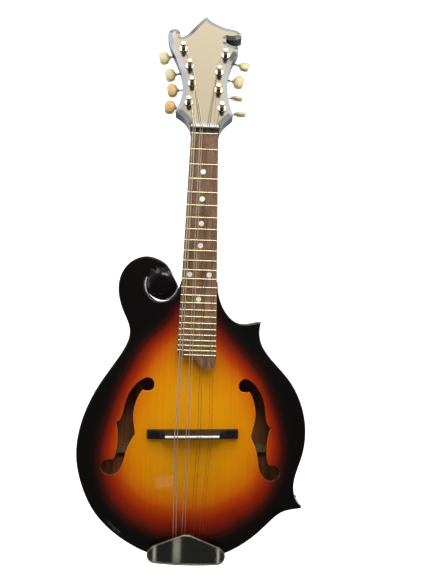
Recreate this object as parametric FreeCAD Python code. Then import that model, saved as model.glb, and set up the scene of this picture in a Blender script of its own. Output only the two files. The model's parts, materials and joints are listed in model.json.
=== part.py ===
import FreeCAD, Part
import math
import os
from FreeCAD import Placement, Rotation, Vector

# F-style mandolin, in millimetres.
# Origin: centre of the neck at the zero fret. +Z runs up the neck to the headstock,
# -Y faces the player's audience (the soundboard side), +X is the treble side.

# ---------------------------------------------------------------- driving dimensions
SCALE_LENGTH = 330.0
FRET_COUNT = 24
NECK_TILT = 6.0                 # the fingerboard plane against the rim, degrees
HEAD_TILT = 20.0                # the headstock face against the rim, degrees

BOARD_FRONT = -10.0             # y of the fingerboard's surface at the zero fret
BOARD_THICK = 5.5
BOARD_TOP_END = 5.6             # how far the board runs past the zero fret
NUT_HALF = 15.4                 # half widths of the fingerboard
LAST_FRET_HALF = 20.9

RIM_FRONT = -14.0               # y of the rim's two edges
RIM_BACK = 24.0
RIM_INSET = 0.8                 # how far the rim stands in from the plates' edge
RIM_THICK = 2.6
PLATE_THICK = 4.5
ARCH_FRONT = 10.0               # how far each plate rises in its middle
ARCH_BACK = 11.0
ARCH_X, ARCH_Z = -3.0, -336.0   # middle of the arch
ARCH_HALF_WIDTH, ARCH_HALF_LENGTH = 118.0, 136.0

NECK_END_Z = -166.0             # where the neck meets the body
HEEL_BACK = RIM_BACK + PLATE_THICK
TAIL_Z = -465.5                 # the flat of the body's tail end

SCROLL_X, SCROLL_Z = -41.0, -170.0   # centre of the scroll's button
SLOT_OUTER, SLOT_INNER = 19.3, 17.4  # radii of the slot's two walls

HEAD_THICK = 14.0
OVERLAY_THICK = 2.0

SADDLE_X, SADDLE_Z = -1.3, -330.6
SADDLE_TOP = -50.0
BRIDGE_TURN = 2.0               # the bridge's slant, degrees
BRIDGE_HALF = 49.0
SADDLE_HALF = 28.3

TAIL_X = -4.0                   # middle of the tailpiece
RIM_JOINT_X = -13.0             # where the bass and treble side strips meet at the tail
HOOK_Y, HOOK_Z = -22.0, -456.0
COVER_FRONT = -33.0
COVER_THICK = 0.8
COVER_BOW_R = 139.0             # how round the cover's front is, across

ARC_TOLERANCE = 0.06            # how closely arcs follow the smooth outlines

PIN_Y, PIN_R, PIN_DEEP = 5.0, 3.0, 18.0        # the end pin's shank
PIN_HEAD_R, PIN_HEAD_LONG = 6.5, 4.0
TAIL_SCREWS = [(TAIL_X - 15, -7.0), (TAIL_X + 15, -7.0), (TAIL_X, -9.0)]
TAIL_SCREW_R, TAIL_SCREW_DEEP = 1.4, 14.0
HOLE_GAP, HOLE_END_GAP = 0.05, 0.2             # room beside and past a pin in its hole

POST_R = 2.5                    # string posts
POST_UP = 10.5                  # how far a post stands above the headstock's face
FERRULE_R = 4.75
FERRULE_BORE_R = 4.0
SCREW_R, SCREW_DEEP = 1.0, 8.0
LUG_DOWN = -8.6                 # the housing's screw lug, below the post's axis
WORM_OFFSET = 6.6               # distance between the post's and the worm's axes
WORM_DEPTH = 5.2                # the worm's axis behind the headstock's back
BUTTON_REACH = 22.8             # from the post's axis to the button's middle

# post (across, up the headstock), shaft's tilt, button's turn at rest
TUNERS = [
    (-19.4, 40.6, -2.0, 0.0),
    (-16.9, 68.0, 7.0, 0.0),
    (-20.4, 92.5, 12.0, 0.0),
    (-28.8, 117.5, 12.0, 0.0),
    (21.0, 110.0, 14.0, -25.0),
    (14.4, 85.0, 10.0, 0.0),
    (14.0, 59.4, 5.0, -50.0),
    (18.5, 34.4, -2.0, -50.0),
]
STRING_NAMES = ["g", "d", "a", "e"]
STRING_DIAMETERS = {"g": 0.96, "d": 0.64, "a": 0.40, "e": 0.30}

# course centres and the gap inside a course, at the nut, the saddle and the hooks
NUT_MIDDLE, NUT_COURSE, NUT_PAIR = -0.1, 7.9, 2.3
SADDLE_MIDDLE, SADDLE_COURSE, SADDLE_PAIR = -0.3, 11.9, 2.9
HOOK_MIDDLE, HOOK_COURSE, HOOK_PAIR = -3.2, 8.9, 3.1

NECK_FRAME = Placement(Vector(0, BOARD_FRONT, 0), Rotation(Vector(1, 0, 0), -NECK_TILT))
HEAD_FRAME = Placement(Vector(0, BOARD_FRONT, 0), Rotation(Vector(1, 0, 0), -HEAD_TILT))


# ---------------------------------------------------------------- small helpers
def at(x, z):
    """A point of an outline drawn in the X-Z plane."""
    return Vector(x, 0, z)


def on_circle(cx, cz, radius, degrees):
    angle = math.radians(degrees)
    return at(cx + radius * math.cos(angle), cz + radius * math.sin(angle))


def line(a, b):
    return Part.makeLine(a, b)


def arc(cx, cz, radius, start, end):
    middle = on_circle(cx, cz, radius, (start + end) / 2)
    ends = on_circle(cx, cz, radius, start), on_circle(cx, cz, radius, end)
    return Part.Arc(ends[0], middle, ends[1]).toShape()


def smooth(points):
    """A smooth run through the points, made of tangent arcs."""
    curve = Part.BSplineCurve()
    curve.interpolate([at(x, z) for x, z in points])
    return Part.Wire([piece.toShape() for piece in curve.toBiArcs(ARC_TOLERANCE)])


def loop(runs):
    """A closed outline from edges and runs of arcs that follow each other."""
    return Part.Wire([edge for run in runs for edge in run.Edges])


def box(x0, x1, y0, y1, z0, z1):
    return Part.makeBox(x1 - x0, y1 - y0, z1 - z0, Vector(x0, y0, z0))


def prism(wire, y0, y1):
    """The X-Z outline, filled and stretched between two depths."""
    solid = Part.Face(wire).extrude(Vector(0, y1 - y0, 0))
    solid.translate(Vector(0, y0, 0))
    return solid


def polygon(points):
    corners = [at(x, z) for x, z in points]
    return Part.makePolygon(corners + corners[:1])


def rod(start, end, radius):
    run = end - start
    return Part.makeCylinder(radius, run.Length, start, run)


def placed(shape, placement):
    moved = shape.copy()
    moved.Placement = placement.multiply(moved.Placement)
    return moved


def solids_only(shape):
    """The bare solids of a boolean's result, which may come nested in compounds."""
    solids = shape.Solids
    return solids[0] if len(solids) == 1 else Part.makeCompound(solids)


def without(shape, tools):
    for tool in tools:
        shape = solids_only(solids_only(shape).cut(tool))
    return shape


def joined(shape, others):
    for other in others:
        shape = shape.fuse(other)
    return shape.removeSplitter()


def save(name, shape):
    solids_only(shape).exportStep("parts/" + name + ".step")


# ---------------------------------------------------------------- body outlines
def body_outline():
    """The plates' edge: neck joint, scroll with its slot, tail, lower and upper points."""
    mouth = on_circle(SCROLL_X, SCROLL_Z, SLOT_OUTER, -22)
    curl = on_circle(SCROLL_X, SCROLL_Z, SLOT_INNER, -12)
    slot_middle = (SLOT_OUTER + SLOT_INNER) / 2
    slot_half = (SLOT_OUTER - SLOT_INNER) / 2
    slot_end = on_circle(SCROLL_X, SCROLL_Z, slot_middle, -200)
    edges = [
        line(at(20.5, NECK_END_Z), at(-20, NECK_END_Z)),
        smooth([(-20, NECK_END_Z), (-21.4, -171.5), (mouth.x, mouth.z)]),
        arc(SCROLL_X, SCROLL_Z, SLOT_OUTER, -22, -200),
        arc(slot_end.x, slot_end.z, slot_half, -200, -380),
        arc(SCROLL_X, SCROLL_Z, SLOT_INNER, -200, -12),
        smooth([(curl.x, curl.z), (-26, -167), (-30.5, -159), (-35, -150.3), (-45, -143.2),
                (-58, -140.2), (-72, -144.3), (-83, -155), (-88.5, -174), (-86, -191),
                (-80, -206), (-75, -218), (-74.6, -229), (-80, -243), (-91, -260.5),
                (-109, -289), (-120, -314), (-126.3, -340), (-127, -362), (-120.5, -390),
                (-105, -420), (-80, -443.7), (-55, -458), (-30, TAIL_Z)]),
        line(at(-30, TAIL_Z), at(22, TAIL_Z)),
        smooth([(22, TAIL_Z), (38, -459.8), (60, -447.5), (80, -430.3), (90, -420.3),
                (100, -413.4), (110, -410.8), (118.3, -409.2)]),
        Part.Arc(at(118.3, -409.2), at(119.6, -407.5), at(118.4, -405.6)).toShape(),
        smooth([(118.4, -405.6), (113.5, -400), (110.7, -390), (111, -380), (115, -365),
                (119.6, -350), (121.8, -332), (120, -310), (113.5, -290), (100, -268),
                (85, -252), (75, -240), (69.8, -230), (68.2, -219), (69.6, -207.9)]),
        smooth([(69.6, -207.9), (60, -210.3), (50, -211.3), (40, -208.5), (30, -198.7),
                (24, -187), (21, -175), (20.5, NECK_END_Z)]),
    ]
    return loop(edges)


def f_hole_outline(side):
    """One f-hole. The two lean by different amounts, as the hand-cut ones do."""
    edges = [
        smooth([(56.5, -285.5), (51.3, -286.8), (45.9, -284.5), (44.5, -279), (47.5, -273.8),
                (52.5, -272.4), (58.5, -275), (67.5, -283.6), (74.5, -297.4), (78, -313.3),
                (80.2, -318.7), (84.6, -321.7)]),
        smooth([(84.6, -321.7), (82.7, -328.5), (81.8, -339.5), (82.5, -351), (86.5, -362.3)]),
        smooth([(86.5, -362.3), (91.4, -362), (97.4, -364.5), (99.7, -370), (97.4, -375.2),
                (91, -378.8), (83.5, -377.3), (78, -371), (74.5, -360.5), (70.5, -346.6),
                (66.5, -338.6), (63.4, -333.6)]),
        smooth([(63.4, -333.6), (65, -324.2), (66, -313.3), (65, -303.4), (61.6, -293.5),
                (57.5, -286.5), (56.5, -285.5)]),
    ]
    wire = loop(edges)
    if side < 0:
        return wire.mirror(Vector(0, 0, 0), Vector(1, 0, 0))
    wire.rotate(at(72.5, -325.5), Vector(0, 1, 0), 4.5)
    wire.translate(Vector(-1.2, 0, 0))
    return wire


# ---------------------------------------------------------------- arched plates
def arch_height(x, z):
    """How far up the arch a point is: 1 in the middle, 0 outside the arched part."""
    reach = ((x - ARCH_X) / ARCH_HALF_WIDTH) ** 2 + ((z - ARCH_Z) / ARCH_HALF_LENGTH) ** 2
    return max(0.0, 1.0 - reach) ** 1.5


def beyond_arch(flat_y, rise):
    """All the space in front of (rise below 0) or behind an arched surface."""
    step = 10
    rows = [[Vector(x, flat_y + rise * arch_height(x, z), z) for z in range(-500, -119, step)]
            for x in range(-150, 151, step)]
    surface = Part.BSplineSurface()
    surface.interpolate(rows)
    return surface.toShape().extrude(Vector(0, math.copysign(90, rise), 0))


def top_plate(outline, outside, inside):
    plate = prism(outline, RIM_FRONT - 40, RIM_FRONT).cut(outside).common(inside)
    for side in (-1, 1):
        plate = plate.cut(prism(f_hole_outline(side), RIM_FRONT - 40, RIM_FRONT + 5))
    return plate


def back_plate(outline, outside, inside):
    return prism(outline, RIM_BACK, RIM_BACK + 40).cut(outside).common(inside)


# ---------------------------------------------------------------- rim, blocks, linings and bars
def solid_inset(outline, inset, y0, y1):
    return prism(outline.makeOffset2D(-inset, 0, False, False), y0, y1)


SCROLL_ZONE = (-100, -24, -201, -130)          # x and z limits of each block
HEAD_ZONE = (-24, 24, -201, -160)
UPPER_POINT_ZONE = (50, 80, -236, -200)
LOWER_POINT_ZONE = (94, 125, -418, -386)
TAIL_ZONE = (-34, 26, -470, -442)


def zone_box(zone):
    x0, x1, z0, z1 = zone
    return box(x0, x1, RIM_FRONT - 1, RIM_BACK + 1, z0, z1)


def tail_holes():
    """Holes for the end pin and the tailpiece's screws, up into the tail."""
    holes = [(TAIL_X, PIN_Y, PIN_R, PIN_DEEP)]
    holes += [(x, y, TAIL_SCREW_R, TAIL_SCREW_DEEP) for x, y in TAIL_SCREWS]
    bores = []
    for x, y, radius, deep in holes:
        mouth = Vector(x, y, TAIL_Z - 5)
        end = Vector(x, y, TAIL_Z + deep + HOLE_END_GAP)
        bores.append(rod(mouth, end, radius + HOLE_GAP))
    return bores


def rim_pieces(outline):
    """The bent side strips, from the scroll round the tail to the neck."""
    ring = solid_inset(outline, RIM_INSET, RIM_FRONT, RIM_BACK)
    ring = ring.cut(solid_inset(outline, RIM_INSET + RIM_THICK, RIM_FRONT, RIM_BACK))
    slot_room = Part.makeCylinder(SLOT_OUTER + RIM_THICK + 3, 60, Vector(SCROLL_X, -30, SCROLL_Z),
                                  Vector(0, 1, 0))
    bass = ring.common(box(-140, RIM_JOINT_X, -30, 40, -480, -130)).cut(slot_room)
    bass = without(bass, [box(-34, 0, -30, 40, -260, -130)] + tail_holes())
    treble = ring.common(box(RIM_JOINT_X, 140, -30, 40, -480, -130))
    lower = without(treble.common(box(RIM_JOINT_X, 140, -30, 40, -480, -407.5)), tail_holes())
    middle = treble.common(box(50, 140, -30, 40, -407.5, -209.4))
    upper = treble.common(box(24, 69, -30, 40, -216, -180))
    middle = middle.cut(upper)
    return {"rim_bass": bass, "rim_lower_treble": lower,
            "rim_middle_treble": middle, "rim_upper_treble": upper}


def blocks(outline, rims):
    """Solid wood inside the corners: scroll, neck joint, the two points and the tail."""
    inner = solid_inset(outline, RIM_INSET, RIM_FRONT, RIM_BACK)
    for rim in rims.values():
        inner = inner.cut(rim)
    made = {}
    made["scroll_block"] = inner.common(zone_box(SCROLL_ZONE))
    made["head_block"] = inner.common(zone_box(HEAD_ZONE)).cut(tenon(0.1))
    made["tail_block"] = without(inner.common(zone_box(TAIL_ZONE)), tail_holes())
    points = [inner.common(zone_box(zone)) for zone in (UPPER_POINT_ZONE, LOWER_POINT_ZONE)]
    made["point_blocks"] = Part.makeCompound(points)
    return made


def linings(outline, inside, y0, y1):
    """The narrow strips that widen the glue line between rim and plate."""
    gap = RIM_INSET + RIM_THICK
    strip = solid_inset(outline, gap, y0, y1).cut(solid_inset(outline, gap + 5, y0, y1))
    for zone in (SCROLL_ZONE, HEAD_ZONE, UPPER_POINT_ZONE, LOWER_POINT_ZONE, TAIL_ZONE):
        strip = strip.cut(zone_box(zone))
    return strip.cut(inside)


def tone_bars(inside):
    """Two bars under the soundboard, a little splayed, below the bridge's feet."""
    bars = []
    for side in (-1, 1):
        bar = box(-3, 3, -40, 0, -85, 85)
        bar.rotate(Vector(0, 0, 0), Vector(0, 1, 0), -4 * side)
        bar.translate(Vector(ARCH_X + 25 * side, 0, -328))
        lower = Part.makeCylinder(190, 20, Vector(ARCH_X + 25 * side - 10, 178, -328), Vector(1, 0, 0))
        bars.append(bar.cut(inside).common(lower))
    return Part.makeCompound(bars)


def back_brace(outline, inside):
    bar = box(-130, 130, RIM_BACK - 6, RIM_BACK + 30, -4.5, 4.5)
    bar.rotate(Vector(0, 0, 0), Vector(0, 1, 0), -2)
    bar.translate(Vector(0, 0, -355))
    room = solid_inset(outline, RIM_INSET + RIM_THICK + 6, RIM_BACK - 10, RIM_BACK + 40)
    return bar.cut(inside).common(room)


# ---------------------------------------------------------------- neck and headstock
def board_half(s):
    """Half the fingerboard's width at a distance down from the zero fret."""
    last_fret = fret_place(FRET_COUNT)
    return NUT_HALF + (LAST_FRET_HALF - NUT_HALF) * s / last_fret


def fret_place(number):
    return SCALE_LENGTH * (1 - 2 ** (-number / 12))


def tenon(gap):
    return box(-9 - gap, 9 + gap, RIM_FRONT, RIM_BACK - 4 + gap, NECK_END_Z - 14 - gap, NECK_END_Z + 2)


def neck_section(s, half, depth, belly, side):
    """A flat front under the fingerboard and a round back, across the neck at s."""
    curve = Part.BSplineCurve()
    curve.interpolate([Vector(half, BOARD_THICK, -s),
                       Vector(half * side, BOARD_THICK + (depth - BOARD_THICK) * belly, -s),
                       Vector(0, depth, -s),
                       Vector(-half * side, BOARD_THICK + (depth - BOARD_THICK) * belly, -s),
                       Vector(-half, BOARD_THICK, -s)])
    flat = line(Vector(-half, BOARD_THICK, -s), Vector(half, BOARD_THICK, -s))
    return Part.Wire([curve.toShape(), flat])


NECK_STATIONS = [   # distance down the neck, depth from the board's surface, how full the back and sides are
    (-4, 19.5, 0.45, 0.94), (30, 19.8, 0.45, 0.94), (80, 20.6, 0.45, 0.94), (112, 21.8, 0.45, 0.93),
    (127, 24.5, 0.46, 0.90), (137, 32.0, 0.48, 0.83), (144, 44.0, 0.50, 0.74), (150, 57.5, 0.50, 0.68),
    (178, 78.0, 0.50, 0.64),
]


def neck_shaft(front, back):
    """The neck and its heel between two depths, as far as the body."""
    wires = [neck_section(s, board_half(s) - 0.2, *shape) for s, *shape in NECK_STATIONS]
    shaft = placed(Part.makeLoft(wires, True, False), NECK_FRAME)
    return shaft.common(box(-40, 40, front, back, NECK_END_Z, 20))


def headstock_outline():
    edges = [
        smooth([(-NUT_HALF - 0.6, 4), (-17.5, 10.5), (-24, 21.5), (-30.5, 27.3), (-34.2, 30)]),
        smooth([(-34.2, 30), (-31.3, 38), (-28.6, 48), (-27.4, 61), (-28.3, 74), (-31, 88),
                (-35.8, 102), (-42, 117), (-46.6, 130), (-48.4, 140), (-45.6, 146.8), (-40.5, 149),
                (-35.8, 147), (-33.6, 142), (-32.6, 137.2)]),
        smooth([(-32.6, 137.2), (-28, 138.8), (-21.3, 146.3), (-12, 159.3), (-3.1, 169.8)]),
        smooth([(-3.1, 169.8), (5, 161.3), (12.5, 156.9), (22, 152.7), (33, 150.3), (38.3, 146.3),
                (39.6, 139.6)]),
        smooth([(39.6, 139.6), (34.5, 136.8), (27.5, 135), (21.6, 136.4)]),
        smooth([(21.6, 136.4), (21.4, 132.6), (25, 128.6), (30, 126.5), (36.5, 125.6)]),
        smooth([(36.5, 125.6), (35.6, 118), (31.6, 108.8), (27, 95), (24.5, 80), (24.2, 66),
                (25.6, 51), (28.3, 38), (31.3, 27.5)]),
        smooth([(31.3, 27.5), (27.5, 23.3), (21.5, 16.5), (17.5, 9.5), (NUT_HALF + 0.6, 4)]),
        line(at(NUT_HALF + 0.6, 4), at(-NUT_HALF - 0.6, 4)),
    ]
    return loop(edges)


def head_wood(y0, y1):
    """A slice of the headstock between two depths behind its face, with the tuners' holes."""
    wood = placed(prism(headstock_outline(), y0, y1), HEAD_FRAME)
    for tuner in TUNERS:
        bore = along_depth(FERRULE_BORE_R, -HEAD_THICK - 5, 5)
        pilot = along_depth(SCREW_R + HOLE_GAP, -SCREW_DEEP - HOLE_END_GAP, 2)
        pilot.translate(Vector(0, 0, LUG_DOWN))
        wood = without(wood, [tuner_placed(bore, tuner), tuner_placed(pilot, tuner)])
    return wood


def under_board():
    """The space in front of the fingerboard's glue line, over the whole neck."""
    room = box(-60, 60, -40, BOARD_THICK, -300, BOARD_TOP_END)
    return placed(room, NECK_FRAME)


def neck(rod_shape):
    wood = neck_shaft(-60, HEEL_BACK).fuse(head_wood(OVERLAY_THICK, HEAD_THICK))
    volute = placed(box(-NUT_HALF - 0.6, NUT_HALF + 0.6, OVERLAY_THICK, HEAD_THICK, 3, 12), HEAD_FRAME)
    wood = joined(wood, [volute, tenon(0)])
    return without(wood, [under_board(), nut_room(), rod_shape])


def neck_rod():
    """The steel bar let into the neck under the fingerboard."""
    return placed(box(-2.5, 2.5, BOARD_THICK, BOARD_THICK + 8, -150, -12), NECK_FRAME)


def nut_room():
    return placed(box(-40, 40, -10, 3.8, BOARD_TOP_END, BOARD_TOP_END + 4.0), NECK_FRAME)


def headstock_overlay():
    return head_wood(0, OVERLAY_THICK).cut(nut_room()).cut(under_board())


# ---------------------------------------------------------------- fingerboard, frets and nut
DOT_FRETS = [3, 5, 7, 9, 12, 15]
DOT_R = 2.9
CROWN_R, CROWN_SINK = 0.95, 0.1
TANG_HALF, TANG_DEEP = 0.3, 1.5


def fingerboard_outline():
    start = board_half(-BOARD_TOP_END)
    edges = [
        line(at(start, BOARD_TOP_END), at(-start, BOARD_TOP_END)),
        line(at(-start, BOARD_TOP_END), at(-board_half(244.5), -244.5)),
        smooth([(-board_half(244.5), -244.5), (-20.3, -248), (-18, -250.2)]),
        line(at(-18, -250.2), at(-5, -250.4)),
        smooth([(-5, -250.4), (-0.6, -252.4), (3.9, -257), (8, -260.6), (12.7, -261.8),
                (17.3, -260.6), (20.2, -257.6), (21.1, -252)]),
        line(at(21.1, -252), at(start, BOARD_TOP_END)),
    ]
    return loop(edges)


def fret_parts(number):
    """A fret's crown and its tang, in the neck's own frame."""
    s = fret_place(number)
    high = board_half(s) - 0.3
    low = -13.4 if number == FRET_COUNT else -high
    crown = Part.makeCylinder(CROWN_R, high - low, Vector(low, CROWN_SINK, -s), Vector(1, 0, 0))
    crown = crown.common(box(low, high, -CROWN_R, 0, -s - 2, -s + 2))
    tang = box(low, high, 0, TANG_DEEP, -s - TANG_HALF, -s + TANG_HALF)
    return crown, tang


def dot_places():
    places = []
    for number in DOT_FRETS:
        middle = -(fret_place(number) + fret_place(number - 1)) / 2
        offsets = (-10.5, 10.5) if number == 12 else (0.0,)
        places += [at(x, middle) for x in offsets]
    return places


def dots(depth):
    return [Part.makeCylinder(DOT_R, depth, place, Vector(0, 1, 0)) for place in dot_places()]


def fingerboard():
    board = prism(fingerboard_outline(), 0, BOARD_THICK)
    tangs = [fret_parts(number)[1] for number in range(FRET_COUNT + 1)]
    return placed(without(board, tangs + dots(1.2)), NECK_FRAME)


def frets():
    made = []
    for number in range(FRET_COUNT + 1):
        crown, tang = fret_parts(number)
        made.append(placed(crown.fuse(tang).removeSplitter(), NECK_FRAME))
    return Part.makeCompound(made)


def position_dots():
    return Part.makeCompound([placed(dot, NECK_FRAME) for dot in dots(1.2)])


def fingerboard_riser(outside):
    """The wedge that carries the fingerboard over the soundboard."""
    wedge = placed(box(-16, 16, BOARD_THICK, 40, -240, -150), NECK_FRAME)
    return wedge.common(outside).common(box(-30, 30, -60, 0, -260, NECK_END_Z))


def nut():
    block = placed(box(-15.3, 15.3, -2.6, 3.8, BOARD_TOP_END, BOARD_TOP_END + 4.0), NECK_FRAME)
    for name, points in string_routes():
        radius = STRING_DIAMETERS[name] / 2
        start, end = points[2], points[3]
        slot = box(start.x - 3, start.x + 3, -9, -CROWN_R + CROWN_SINK + 0.05, 3, 12)
        slot = slot.common(box(start.x - radius - 0.25, start.x + radius + 0.25, -9, 9, 3, 12))
        block = block.cut(placed(slot, NECK_FRAME))
    return block


# ---------------------------------------------------------------- strings
def spread(middle, course_gap, pair_gap):
    """Eight places across: four courses of two strings each, bass side first."""
    places = []
    for course in range(4):
        centre = middle + (course - 1.5) * course_gap
        places += [centre - pair_gap / 2, centre + pair_gap / 2]
    return places


def string_routes():
    """Each string's name and bends: hook, saddle, zero fret, past the nut, posts on the way."""
    routes = []
    nut_places = spread(NUT_MIDDLE, NUT_COURSE, NUT_PAIR)
    saddle_places = spread(SADDLE_MIDDLE, SADDLE_COURSE, SADDLE_PAIR)
    hook_places = spread(HOOK_MIDDLE, HOOK_COURSE, HOOK_PAIR)
    slant = math.tan(math.radians(BRIDGE_TURN))
    for index in range(8):
        name = STRING_NAMES[index // 2]
        radius = STRING_DIAMETERS[name] / 2
        over_fret = -(CROWN_R - CROWN_SINK) - radius - 0.03
        x = saddle_places[index]
        saddle_point = Vector(x, SADDLE_TOP - radius - 0.03, SADDLE_Z + (x - SADDLE_X) * slant)
        points = [
            Vector(hook_places[index], HOOK_Y, HOOK_Z),
            saddle_point,
            NECK_FRAME.multVec(Vector(nut_places[index], over_fret, 0)),
            NECK_FRAME.multVec(Vector(nut_places[index], over_fret, BOARD_TOP_END + 4.3)),
        ]
        clear = POST_R + radius + 0.08
        side = 1 if index < 4 else -1
        if index in (3, 4):
            passed = TUNERS[2] if index == 3 else TUNERS[5]
            points.append(HEAD_FRAME.multVec(Vector(passed[0] + side * (clear + 0.4), -7.6, passed[1])))
        across, up = TUNERS[index][:2]
        points.append(HEAD_FRAME.multVec(Vector(across + side * clear, -6.0, up)))
        routes.append((name, points))
    return routes


def string_solid(points, radius):
    solid = None
    for start, end in zip(points, points[1:]):
        run = rod(start, end, radius)
        solid = run if solid is None else joined(solid, [Part.makeSphere(radius, start), run])
    return solid


def strings():
    pairs = {name: [] for name in STRING_NAMES}
    for name, points in string_routes():
        pairs[name].append(string_solid(points, STRING_DIAMETERS[name] / 2))
    return {"string_" + name: Part.makeCompound(pair) for name, pair in pairs.items()}


# ---------------------------------------------------------------- bridge and saddle
def bridge_placed(shape):
    turned = Placement(Vector(SADDLE_X, 0, SADDLE_Z), Rotation(Vector(0, 1, 0), -BRIDGE_TURN))
    return placed(shape, turned)


def saddle_blank():
    ridge = [(-1.1, -46.2), (-1.1, SADDLE_TOP + 0.7), (-0.35, SADDLE_TOP),
             (0.35, SADDLE_TOP), (1.1, SADDLE_TOP + 0.7), (1.1, -46.2)]
    corners = [Vector(-SADDLE_HALF, y, z) for z, y in ridge]
    section = Part.Face(Part.makePolygon(corners + corners[:1]))
    return section.extrude(Vector(2 * SADDLE_HALF, 0, 0))


def bridge(outside):
    """The one-piece bridge: low wings, a raised middle, and a foot that fits the arch."""
    rise = [(-BRIDGE_HALF, -15), (-BRIDGE_HALF, -30.5), (-46, -32), (-35, -33.5), (-31.5, -36),
            (-29.5, -47.3), (0, -48.2), (29.5, -47.3), (31.5, -36), (35, -33.5), (46, -32),
            (BRIDGE_HALF, -30.5), (BRIDGE_HALF, -15)]
    corners = [Vector(x, y, -5) for x, y in rise]
    blank = Part.Face(Part.makePolygon(corners + corners[:1])).extrude(Vector(0, 0, 10))
    for side in (-1, 1):
        slope = [Vector(-60, -33, side * 5), Vector(-60, -60, side * 5), Vector(-60, -60, side * 1.6),
                 Vector(-60, -48.2, side * 2.6)]
        blank = blank.cut(Part.Face(Part.makePolygon(slope + slope[:1])).extrude(Vector(120, 0, 0)))
    return bridge_placed(blank.cut(saddle_blank())).common(outside)


# ---------------------------------------------------------------- tailpiece and end pin
def tailpiece_base(outside):
    edge = polygon([(TAIL_X - 36, -452.5), (TAIL_X + 36, -452.5), (TAIL_X + 38.5, -457),
                    (TAIL_X + 37, -460), (TAIL_X + 24, TAIL_Z - 1.2), (TAIL_X - 24, TAIL_Z - 1.2),
                    (TAIL_X - 37, -460), (TAIL_X - 38.5, -457)])
    front = prism(edge, -21.2, RIM_FRONT).common(outside)
    tail = box(TAIL_X - 24, TAIL_X + 24, -21.2, 12, TAIL_Z - 1.2, TAIL_Z)
    base = front.fuse(tail).removeSplitter()
    pins = [rod(Vector(x, -21.3, HOOK_Z - 1.2), Vector(x, -24.6, HOOK_Z - 1.2), 0.8)
            for x in spread(HOOK_MIDDLE, HOOK_COURSE, HOOK_PAIR)]
    return without(joined(base, pins), tail_holes())


def cover_outline():
    half = [(3.2, -436.4), (20, -443.2), (34.5, -449.7)]
    corner = [(34.5, -449.7), (39.5, -453.8), (42, -460), (40, -465.8), (35, -468.6)]
    edges = [line(at(TAIL_X - 3.2, -436.4), at(TAIL_X + 3.2, -436.4)),
             smooth([(TAIL_X + x, z) for x, z in half]),
             smooth([(TAIL_X + x, z) for x, z in corner]),
             line(at(TAIL_X + 35, -468.6), at(TAIL_X - 35, -468.6)),
             smooth([(TAIL_X - x, z) for x, z in reversed(corner)]),
             smooth([(TAIL_X - x, z) for x, z in reversed(half)])]
    return loop(edges)


def cover_space(inset, radius):
    """What lies under the cover's bowed front, to a given inset from its outline."""
    wire = cover_outline()
    if inset > 0:
        wire = wire.makeOffset2D(-inset, 0, False, False)
    bow = Part.makeCylinder(radius, 80, Vector(TAIL_X, COVER_FRONT + COVER_BOW_R, -490), Vector(0, 0, 1))
    return prism(wire, COVER_FRONT - 5, -21.6).common(bow)


def tailpiece_cover():
    shell = cover_space(0, COVER_BOW_R)
    hollow = cover_space(COVER_THICK, COVER_BOW_R - COVER_THICK)
    mouth = hollow.copy()
    mouth.translate(Vector(0, 0, 1.6))
    shell = shell.cut(hollow).cut(mouth)
    return shell.cut(box(-60, 60, -26.2, -20, -470, TAIL_Z - 2.3))


def tailpiece_screws():
    screws = []
    for x, y in TAIL_SCREWS:
        head = rod(Vector(x, y, TAIL_Z - 2.6), Vector(x, y, TAIL_Z - 1.2), 2.7)
        shank = rod(Vector(x, y, TAIL_Z - 1.2), Vector(x, y, TAIL_Z + TAIL_SCREW_DEEP), TAIL_SCREW_R)
        slot = box(x - 3, x + 3, y - 0.35, y + 0.35, TAIL_Z - 2.7, TAIL_Z - 2.0)
        screws.append(head.fuse(shank).cut(slot))
    return Part.makeCompound(screws)


def end_pin():
    def level(z):
        return Vector(TAIL_X, PIN_Y, TAIL_Z - z)
    pin = rod(level(1.2), level(-PIN_DEEP), PIN_R)
    return joined(pin, [rod(level(1.2), level(2.4), 6.0), rod(level(2.4), level(5.5), 4.2),
                        rod(level(5.5), level(5.5 + PIN_HEAD_LONG), PIN_HEAD_R)])


# ---------------------------------------------------------------- tuners
# A tuner is drawn for the treble side at its post's axis on the headstock's back:
# X outward along the worm's shaft, Y to the back, Z towards the worm.
GEAR_TEETH = 14
GEAR_R, GEAR_ROOT_R = 5.0, 4.2
WORM_R, WORM_CORE_R, SHAFT_R = 1.45, 1.05, 1.25
BUTTON_HALF_LONG, BUTTON_HALF_WIDE, BUTTON_HALF_THICK = 6.0, 9.2, 3.5


def along_depth(radius, y0, y1):
    return Part.makeCylinder(radius, y1 - y0, Vector(0, y0, 0), Vector(0, 1, 0))


def tuner_placed(shape, tuner):
    across, up, tilt, turn = tuner
    if across < 0:
        shape = shape.mirror(Vector(0, 0, 0), Vector(1, 0, 0))
        tilt = -tilt
    seat = Placement(Vector(across, HEAD_THICK, up), Rotation(Vector(0, 1, 0), tilt))
    return placed(placed(shape, seat), HEAD_FRAME)


def tuner_post():
    """The string post, waisted where the string winds, with its hole and its gear."""
    top = -HEAD_THICK - POST_UP
    post = along_depth(POST_R, top, 3.4)
    waist = along_depth(POST_R + 1, top + 3.5, top + 6).cut(along_depth(POST_R - 0.45, top, top + 8))
    hole = Part.makeCylinder(0.7, 8, Vector(0, top + 3.0, -4), Vector(0, 0, 1))
    return Part.makeCompound([without(post, [waist, hole]), gear()])


def gear():
    points = []
    for tooth in range(GEAR_TEETH):
        for share, radius in ((0.0, GEAR_ROOT_R), (0.3, GEAR_ROOT_R), (0.42, GEAR_R), (0.78, GEAR_R)):
            place = on_circle(0, 0, radius, (tooth + share) * 360 / GEAR_TEETH)
            points.append((place.x, place.z))
    return prism(polygon(points), 3.4, 7.0)


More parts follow.
